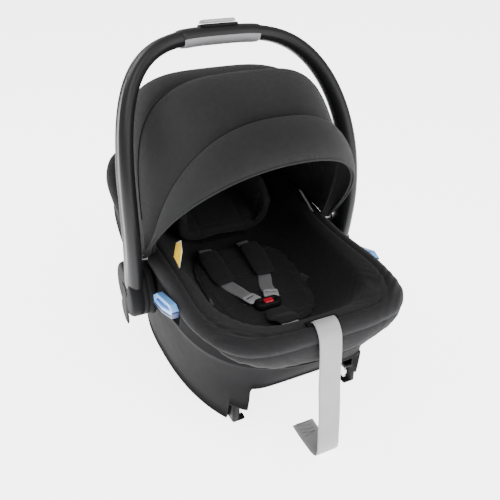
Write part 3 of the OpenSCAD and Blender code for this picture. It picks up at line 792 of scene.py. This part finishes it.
def rounded_slab(name, w, d, profile, r, place, material):
    """A rounded rectangle raised through (height, inset) steps."""
    return loft(name, [[place(x, y, h) * MM for x, y in rounded_rect(w, d, r, inset)]
            for h, inset in profile], material)


collar = rounded_slab("button_collar_ring", 67, 29, [(11, 0), (15.4, 0), (16.6, 0.5), (17.0, 1.6),
        (16.8, 3.1), (14, 3.2), (14, 6)], 8, at_grip, BLACK)
finish_piece(collar, "handle", ["button_collar"])
release = rounded_slab("release_key", 60.2, 22.2, [(18.2, 0.0), (20.6, 0.0), (22.2, 0.5), (23.2, 1.6),
        (23.8, 3.4), (23.5, 6.0)], 6, at_grip, LIGHT)
finish_piece(release, "release", ["release_button"])


# ---- hub caps
HUB_RADIUS, FIN_AT, FIN_RADIUS = 50.0, np.array([8.0, -49.0]), 6.0
# outer face of the hub's fixed ring, which the canopy's cloth stays inside
HUB_FACE = 190.6


def hub_outline(grow):
    """Round disc drawn down into a blunt fin."""
    ring = []
    disc = HUB_RADIUS + grow
    for q in angles(96):
        d = np.array([math.cos(q), math.sin(q)])
        reach = disc
        for s in np.linspace(0, 1, 24):
            c = FIN_AT * s
            r = mix(disc, FIN_RADIUS + grow, s)
            b = d @ c
            inside = b * b - c @ c + r * r
            if inside > 0:
                reach = max(reach, b + math.sqrt(inside))
        ring.append(d * reach)
    return np.array(ring)


def hub_build(side, name):
    rings = []
    for x, grow in ((191.2, -6), (191.2, -0.6), (191.8, 0), (199.0, 0), (199.4, -1.3), (200.4, -1.3),
            (200.8, 0), (214, -0.2), (217.5, -1.6), (219.8, -4.2), (220.9, -8.0), (221.3, -16),
            (221.4, -30)):
        flat = hub_outline(grow)
        rings.append([np.array([side * x, PIVOT_Y + p[0], PIVOT_Z + p[1]]) * MM for p in flat])
    return loft(name, rings, HUB)


def turned(name, side, steps, sides):
    """A part turned about the handle's axis, through (x, radius) steps."""
    return loft(name, [[np.array([side * x, PIVOT_Y + r * math.cos(q), PIVOT_Z + r * math.sin(q)]) * MM
            for q in angles(sides)] for x, r in steps], HUB)


for side, word in ((-1, "left"), (1, "right")):
    hub = hub_build(side, f"{word}_hub_shell")
    finish_piece(hub, "handle", [f"{word}_hub_cap"])
    knob = turned(f"{word}_lock_knob", side, ((212, 14), (221.6, 14), (222.2, 13.4), (222.4, 12),
            (222.1, 8)), 64)
    finish_piece(knob, f"{word}_lock", [f"{word}_lock_button"])
    base = turned(f"{word}_hub_ring", side, ((178.6, 40), (178.6, 50.5), (179.4, 51.6), (189.8, 51.6),
            (HUB_FACE, 50.8), (HUB_FACE, 40)), 72)
    finish_piece(base, "shell", [f"{word}_hub_base"])


# ---- canopy
CANOPY_Y, CANOPY_Z = -22.0, 216.0
# bow angles ahead of upright, with each bow's radius, squareness and half width
BACK_EDGE, REAR_BOW, MID_BOW, FRONT_BOW = -79.0, -5.0, 26.5, 42.5
BOWS = np.array([(BACK_EDGE, 296, 3.4, 184), (REAR_BOW, 281, 4.2, 179), (MID_BOW, 290, 2.5, 172),
        (FRONT_BOW, 289, 2.15, 187.5)])


def canopy_point(angle, t, puff=0.0, inset=0.0):
    """A point at an angle ahead of upright and t degrees round the arch from the right pivot."""
    radius = np.interp(angle, BOWS[:, 0], BOWS[:, 1])
    n = np.interp(angle, BOWS[:, 0], BOWS[:, 2])
    width = np.interp(angle, BOWS[:, 0], BOWS[:, 3])
    c, s = math.cos(math.radians(t)), math.sin(math.radians(t))
    x = width * power(c, 2 / n)
    r = radius * power(s, 2 / n)
    # the fabric's puff and inset act along the arch's own outward direction
    out = unit([abs(x / width) ** (n - 1) / width * np.sign(x), (r / radius) ** (n - 1) / radius])
    x, r = x + out[0] * (puff * 0.6 - inset), r + out[1] * (puff - inset)
    x = np.clip(x, -HUB_FACE, HUB_FACE)
    q = math.radians(angle)
    return np.array([x, CANOPY_Y - r * math.sin(q), CANOPY_Z + r * math.cos(q)]) * MM


# degrees round the arch, closer together beside the pivots
HALF_STEPS = 90 * np.linspace(0.04, 1, 49) ** 2.2
ARCH_STEPS = np.concatenate([HALF_STEPS, 180 - HALF_STEPS[-2::-1]])


def canopy_panel(name, a, b, height, side, dip=0.0, steps=22):
    """Cloth between the bows at angles a and b, puffed by up to height between them."""
    rows = []
    lap = 0.5 / (b - a)
    for u in [-lap] + [i / steps for i in range(steps + 1)] + ([1 + lap] if b < FRONT_BOW else []):
        angle = mix(a, b, u)
        u = min(max(u, 0.0), 1.0)
        rows.append([canopy_point(angle, t, math.sin(math.pi * u) ** 0.62 * (
            height * math.sin(math.radians(t)) ** side
            - dip * math.exp(-((90 - abs(t - 90) - 48) / 15) ** 2))) for t in ARCH_STEPS])
    rows = np.array(rows)
    faces = grid_faces(len(rows), len(ARCH_STEPS), wrap_columns=False)
    obj = new_object(name, rows.reshape(-1, 3), faces, HOOD)
    area = float(sum(f.area for f in obj.data.polygons))
    modifier = obj.modifiers.new("cloth", "SOLIDIFY")
    modifier.thickness = 0.0016
    modifier.offset = -1
    bake(obj)
    bake_subdivision(obj, 1)
    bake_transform(obj)
    # the panel's flat size: its area over the arc of its middle row, and that arc
    arc = float(np.linalg.norm(np.diff(rows[steps // 2], axis=0), axis=1).sum())
    return obj, (round(area / arc, 4), round(arc, 4))


def bow(name, angle, body, node, radius=2.4, inset=4.4, material=HOOD, trim=5):
    route = [canopy_point(angle, t, 0, inset) for t in ARCH_STEPS[trim:-trim]]
    obj = tube(name, route, radius * MM, material, 10, up=(0, 1, 0.2))
    finish_piece(obj, body, [node] if node else ())
    return obj


rear_bow = bow("rear_bow_rod", REAR_BOW, "canopy_rear", "canopy_rear_bow")
mid_bow = bow("mid_bow_rod", MID_BOW, "canopy_mid", "canopy_mid_bow")
front_bow = bow("front_bow_rod", FRONT_BOW - 0.9, "canopy_front", "canopy_front_bow")
bow("visor_hem", FRONT_BOW - 0.1, "canopy_front", None, radius=2.2, inset=1.2)

# thin near-black cords on the rear and middle seams, their colour painted shadow lines in the seam valleys
bow("rear_seam_shadow_cord", REAR_BOW, "canopy_rear", None, radius=0.8, inset=-0.5, material=SEAM_SHADE, trim=9)
bow("mid_seam_shadow_cord", MID_BOW, "canopy_mid", None, radius=0.8, inset=-0.5, material=SEAM_SHADE, trim=11)

back_panel, flat_back = canopy_panel("canopy_back_cloth", BACK_EDGE, REAR_BOW, 25,
        side=1.0, steps=38)
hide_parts("canopy_back_panel")
middle_panel, flat_middle = canopy_panel("canopy_middle_cloth", REAR_BOW, MID_BOW, 24,
        side=3.0, dip=12.0)
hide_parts("canopy_rear_panel", "canopy_mid_panel")
visor, flat_visor = canopy_panel("canopy_visor_cloth", MID_BOW, FRONT_BOW, 17,
        side=1.6, steps=16)
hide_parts("canopy_front_panel")


# ---- seat insert and headrest
INSERT_Y, INSERT_W, INSERT_L = -72.0, 97.0, 124.0


def insert_build():
    """A cushion on the seat: its underside, then its top, crowned towards the middle."""
    steps = (0.1, 0.3, 0.5, 0.68, 0.82, 0.92, 0.98, 1.0)
    a = angles(72)

    def ring(s, off, height):
        x, y = INSERT_W * s * power(np.cos(a), 2 / 3), INSERT_Y + INSERT_L * s * power(np.sin(a), 2 / 3)
        return points(x, y, seat_surface(x, y) + off + height * (1 - s ** 3))

    rings = [ring(s, 3.4, 0) for s in steps] + [ring(s, 7.6, 10.5) for s in steps[::-1]]
    return loft("insert_cushion", rings, MESH_CLOTH)


insert = insert_build()
inflate(insert, 0.004, 0.005)


def channels(co):
    """Sewn channels across the insert, and one round its edge."""
    x, y = co[:, 0] / MM, co[:, 1] / MM
    groove = sum(np.exp(-((y - c + 0.0036 * x * x) / 2.6) ** 2) for c in (-150.0, -96.0, -42.0, 8.0))
    size = (np.abs(x / INSERT_W) ** 3 + np.abs((y - INSERT_Y) / INSERT_L) ** 3) ** (1 / 3)
    edge = np.exp(-((size - 0.86) / 0.022) ** 2)
    top = np.clip((co[:, 2] / MM - seat_surface(x, y) - 6) / 4, 0, 1)
    return -0.0022 * np.clip(groove * (size < 0.86) + edge, 0, 1) * top


displace(insert, channels)
finish_piece(insert, "shell", ["infant_insert"])

SLOPE = math.atan(BACK_SLOPE)
HEAD_Y = 56.0
HEAD_Z = float(floor_z(np.array(HEAD_Y))) + 19.0


def at_head(x, along, up):
    return np.array([x, HEAD_Y + along * math.cos(SLOPE) - up * math.sin(SLOPE),
            HEAD_Z + along * math.sin(SLOPE) + up * math.cos(SLOPE)]) * MM


def wing_profile(w, h, t, r):
    """U of thickness t: outer line down one side and up the other, then the inner line back."""
    line = [(w, k) for k in np.linspace(h - t * 0.5, r, 6)]
    line += [(w - r + r * math.cos(q), r - r * math.sin(q)) for q in np.linspace(0, math.pi / 2, 10)[1:]]
    line += [(x, 0.0) for x in np.linspace(w - r, 0, 5)[1:]]
    line = np.array(line + [(-x, z) for x, z in line[:-1][::-1]])
    t_dir = tangents(np.column_stack([line, np.zeros(len(line))]))[:, :2]
    normal = np.column_stack([t_dir[:, 1], -t_dir[:, 0]])
    mid = np.array([0.0, h])
    normal = np.where((np.sum((mid - line) * normal, axis=1) > 0)[:, None], normal, -normal)
    return line, line + normal * t


def headrest_build():
    rings = []
    outer, inner = wing_profile(93, 100, 17, 44)
    for along, squeeze, drop in ((3, 0.35, 6), (6, 0.75, 3), (14, 1.0, 0), (30, 1, 0), (50, 1, 0), (70, 1, 0),
            (90, 1, 0), (108, 1.0, 0), (122, 1.0, 0), (130, 0.75, 3), (134, 0.35, 6)):
        middle = (outer + inner) / 2
        o, i = middle + (outer - middle) * squeeze, middle + (inner - middle) * squeeze
        lift = 16.0 * math.sin(math.pi * np.clip((along - 8) / 120, 0, 1))
        ring = []
        for line in (o, i[::-1]):
            for x, z in line:
                up = 6.5 + z * (0.80 + 0.2 * math.sin(math.pi * along / 137)) + lift * 0.2 * z / 88.0
                ring.append(at_head(x, along, up))
        rings.append(ring)
    return loft("headrest_cushion", rings, MESH_CLOTH)


headrest = headrest_build()
inflate(headrest, 0.005, 0.0055)


def head_seams(co):
    """Sewn lines where the wings leave the back and round each wing's face."""
    y, z = co[:, 1] / MM - HEAD_Y, co[:, 2] / MM - HEAD_Z
    along = y * math.cos(SLOPE) + z * math.sin(SLOPE)
    up = -y * math.sin(SLOPE) + z * math.cos(SLOPE)
    x = np.abs(co[:, 0] / MM)
    inner = (x < 80) & (up > 12)
    seam = np.exp(-((x - 46) / 2.2) ** 2) * (up < 40) + np.exp(-((along - 22) / 2.2) ** 2) * (up > 26)
    return -0.002 * np.clip(seam, 0, 1) * inner


displace(headrest, head_seams)
finish_piece(headrest, "headrest", ["headrest_pad"])


# ---- harness
def lie(x, y, h):
    return np.array([x, y, float(seat_surface(np.array(float(x)), np.array(float(y)))) + h])


# height of the harness webs above the seat, where they lie on the insert
ON_PAD = 23.0
LEFT_X, RIGHT_X, BUCKLE_Y, BUCKLE_Z = -50.0, 36.0, -130.0, 139.0
for word, sx in (("left", LEFT_X), ("right", RIGHT_X)):
    route = smooth_route([lie(sx * 0.9, 46, 14), lie(sx, 20, 20), lie(sx, -14, ON_PAD),
            lie(sx * 0.9, -52, ON_PAD), lie(sx * 0.62, -80, ON_PAD + 1),
            [sx * 0.5, BUCKLE_Y + 28, BUCKLE_Z + 0.5]], 8) * MM
    web = strap(f"{word}_harness_webbing", route, (1, 0, 0), 0.025, WEB_THICK, WEB)
    finish_piece(web, "shell", [f"{word}_harness_strap"])
    route = smooth_route([lie(sx, 24, 28), lie(sx, -14, ON_PAD + 6.5),
            lie(sx * 0.93, -60, ON_PAD + 6.5)], 10) * MM
    comfort = strap(f"{word}_comfort_pad", route, (1, 0, 0), 0.042, 0.0075, MESH_CLOTH, levels=1,
            crown=0.0012, ends=0.86)
    finish_piece(comfort, "shell", [f"{word}_shoulder_pad"])
    side = -1 if word == "left" else 1
    route = smooth_route([[side * p[0], p[1], p[2]] for p in (lie(96, -96, 5), lie(74, -104, 7),
            lie(52, -116, 9), (34, BUCKLE_Y + 10, BUCKLE_Z - 9))], 8) * MM
    # the lap webs take the near-black copy of the webbing, which is painted shade
    lap = strap(f"{word}_lap_webbing", route, (0, 1, 0.3), 0.018, WEB_THICK, WEB_PAINTED_SHADE)
    finish_piece(lap, "shell", [f"{word}_lap_strap"])


def plate(name, flat, low, high):
    """A flat plate between two heights, standing for polished metal: its light grey colour is painted
    reflection, not a metallic finish.
    """
    verts = [(x, y, z) for z in (low, high) for x, y in flat]
    return new_object(name, np.array(verts) * MM, slab_faces(len(flat)), PAINTED_CHROME, smooth=False)


def tongue_build(name, place):
    """A rounded plate with a slot for its web."""
    obj = plate(name, [(x, y + 12) for x, y in rounded_rect(27, 25, 5, count=6)], 0, 2.6)
    cut(obj, plate("cutter", [(-9.5, 15), (9.5, 15), (9.5, 19), (-9.5, 19)], -3, 5.6))
    bevelled(obj, 0.0005, 2)
    obj.data.transform(place)
    return obj


for word, side in (("left", -1), ("right", 1)):
    place = Matrix.Translation(Vector((side * 15 - 2, BUCKLE_Y + 9, BUCKLE_Z - 0.6)) * MM) @ Matrix.Rotation(
        math.radians(-20 * side), 4, "Z")
    tongue = tongue_build(f"{word}_tongue_plate", place)
    finish_piece(tongue, "shell", [f"{word}_tongue"])


def at_buckle(x, y, h):
    return np.array([x, BUCKLE_Y + y, BUCKLE_Z - 8 + h])


buckle = rounded_slab("buckle_case", 50, 26, [(0.5, 4), (0.0, 1.5), (2, 0), (8.5, 0), (11, 1.0), (12.6, 3.4),
        (12.9, 6), (12.9, 8), (11.0, 8.6), (10.2, 9.5)], 12, at_buckle, BLACK)
finish_piece(buckle, "shell", ["buckle_housing"])
key = rounded_slab("buckle_key", 17.4, 12.4, [(8.5, 0), (13.2, 0), (14.2, 0.5), (14.8, 1.6), (14.6, 3)], 4,
        lambda x, y, h: at_buckle(x, y - 3, h), RED)
finish_piece(key, "buckle_press_body", ["buckle_button"])
CROTCH_Y = -222.0
route = smooth_route([lie(0, CROTCH_Y - 10, 2), lie(0, CROTCH_Y, 8), lie(0, -200, 18), lie(0, -176, 17),
        [0, -154, BUCKLE_Z - 6]], 8) * MM
crotch = strap("crotch_webbing", route, (1, 0, 0), 0.030, WEB_THICK, WEB_LIGHT)
finish_piece(crotch, "shell", ["crotch_strap"])
route = smooth_route([lie(0, -210, 19.5), lie(0, -196, 24), lie(0, -176, 22.5),
        [0, -154, BUCKLE_Z + 1]], 8) * MM
crotch_pad = strap("crotch_cushion", route, (1, 0, 0), 0.050, 0.0085, MESH_CLOTH, levels=1, crown=0.003,
        ends=0.75)
finish_piece(crotch_pad, "shell", ["crotch_pad"])


# ---- belt guides
def prism(name, outline_yz, x0, x1, material, bevel):
    """A side view of (y, z) points given thickness from x0 to x1."""
    n = len(outline_yz)
    verts = [(x0, y, z) for y, z in outline_yz] + [(x1, y, z) for y, z in outline_yz]
    faces = [list(range(n)), list(range(n, 2 * n))[::-1]]
    faces += [[i, (i + 1) % n, n + (i + 1) % n, n + i] for i in range(n)]
    obj = new_object(name, np.array(verts) * MM, faces, material, smooth=False)
    return bevelled(obj, bevel, 3) if bevel else obj


for word, side in (("left", -1), ("right", 1)):
    frame_yz = [(-86, 170), (-84, 182), (-104, 197), (-170, 214), (-182, 208), (-176, 197), (-128, 178)]
    hole_yz = [(-96, 180), (-106, 190), (-164, 206), (-170, 202), (-128, 186)]
    guide = prism(f"{word}_guide_hook", frame_yz, side * 180.0, side * 190.5, BLUE, 0.0)
    cut(guide, prism("cutter", hole_yz, side * 184.5, side * 194.0, NAVY, 0.0))
    bevelled(guide, 0.0012, 3)
    finish_piece(guide, "shell", [f"{word}_belt_guide"])
    lip_yz = [(-85, 167.6), (-84, 170), (-128, 177.6), (-175, 196), (-181, 207), (-184, 206), (-178, 193),
            (-129, 174.6)]
    lip = prism(f"{word}_guide_lip", lip_yz, side * 180.5, side * 191.6, NAVY, 0.0006)
    finish_piece(lip, "shell")


# ---- feet
def from_foot(side, x0, y0):
    return lambda x, y, h: np.array([side * (x0 + x), y0 + y, h])


for word, side in (("left", -1), ("right", 1)):
    shoe = rounded_slab(f"{word}_foot_shoe", 23, 31, [(0.6, 5), (0.6, 1.5), (2.4, 0), (20, 0), (40, 0),
            (42.4, 1.2), (43.2, 4)], 4, from_foot(side, 108.5, -224.5), BLACK)
    # the window that the latch stands in
    cut(shoe, rounded_slab("cutter", 13.4, 33, [(4.5, 0), (36, 0)], 1.2,
            from_foot(side, 102.0, -227.5), BLACK))
    finish_piece(shoe, "shell", [f"{word}_foot_block"])


# ---- tag, strip and stitching
def flat_patch(name, outline_ab, origin, a_dir, b_dir, thick, material):
    """A thin patch whose outline is given along two directions from its origin."""
    origin, a_dir, b_dir = (np.asarray(v, float) for v in (origin, a_dir, b_dir))
    normal = np.cross(unit(a_dir), unit(b_dir)) * thick
    base = [origin + unit(a_dir) * a + unit(b_dir) * b for a, b in outline_ab]
    verts = np.array(base + [p + normal for p in base]) * MM
    return bevelled(new_object(name, verts, slab_faces(len(base)), material, smooth=False), 0.0002, 2)


TAG_PLACE = ((-150, -92, 236), (0, 1, 0.06), (0.21, 0, 1))
tag = flat_patch("plain_tag", [(-14, 1), (13, 5), (12, 29), (-4, 42), (-14, 28)], *TAG_PLACE, 1.2, TAG)
tag_edge = flat_patch("tag_border", [(-15, 0), (14, 4), (13, 30), (-4, 43.5), (-15, 29)], (-149.6, -92, 236),
        *TAG_PLACE[1:], 0.5, TAG_EDGE)
finish_piece(tag, "shell", ["blank_tag"])
finish_piece(tag_edge, "shell")
strip = flat_patch("side_tape", [(-26, 0), (-16, 0), (18, 30), (8, 30)], (137, -20, 248), (0, 1, 0),
        (-0.24, 0, 1), 1.0, WEB_TAIL)
finish_piece(strip, "shell", ["side_strip"])

# ---- carried-over CAD nodes
CARRIED = {
    BLACK: ("adjuster_housing", "adjuster_bezel", "headrest_board"),
    LIGHT: ("headrest_lever",),
    BLUE: ("rear_belt_guide",),
    STEEL: ("left_latch", "right_latch", "harness_yoke", "adjuster_lever", "rear_catch_bar"),
    DARK_STEEL: ("left_pivot_pin", "right_pivot_pin", "left_canopy_pin", "right_canopy_pin",
        "left_lock_spring", "right_lock_spring"),
}
for material, names in CARRIED.items():
    for n in names:
        NODES[n].data.materials.clear()
        NODES[n].data.materials.append(material)

# ---- floor, light
floor_data = bpy.data.meshes.new("floor")
SPAN = 40.0
floor_data.from_pydata([(-SPAN, -SPAN, 0), (SPAN, -SPAN, 0), (SPAN, SPAN, 0), (-SPAN, SPAN, 0)], [],
        [(0, 1, 2, 3)])
floor = bpy.data.objects.new("floor", floor_data)
bpy.context.scene.collection.objects.link(floor)
pale = Shader("studio_floor", (0.93, 0.93, 0.93), 0.9, specular=0.1)
pale.bsdf.inputs["Emission Color"].default_value = (1, 1, 1, 1)
pale.bsdf.inputs["Emission Strength"].default_value = 4.0
pale.rough(pale.noise(3.0), 0.85, 0.95)
floor_data.materials.append(pale.material)
floor.location.z = -0.0004

world = bpy.data.worlds.new("studio")
bpy.context.scene.world = world
world.use_nodes = True
world.node_tree.nodes["Background"].inputs["Color"].default_value = (1, 1, 1, 1)
world.node_tree.nodes["Background"].inputs["Strength"].default_value = 0.7


def area_light(name, place, size, power_w, target=(0, 0, 0.2)):
    data = bpy.data.lights.new(name, "AREA")
    data.size = size
    data.energy = power_w
    light = bpy.data.objects.new(name, data)
    light.location = place
    light.rotation_euler = (Vector(target) - Vector(place)).to_track_quat("-Z", "Y").to_euler()
    bpy.context.scene.collection.objects.link(light)


area_light("key", (-0.35, -1.3, 2.5), 1.6, 46)
area_light("fill", (0.9, -1.9, 1.1), 1.5, 30, target=(0, 0.05, 0.25))
area_light("rim", (-0.9, 1.5, 1.9), 1.0, 26)
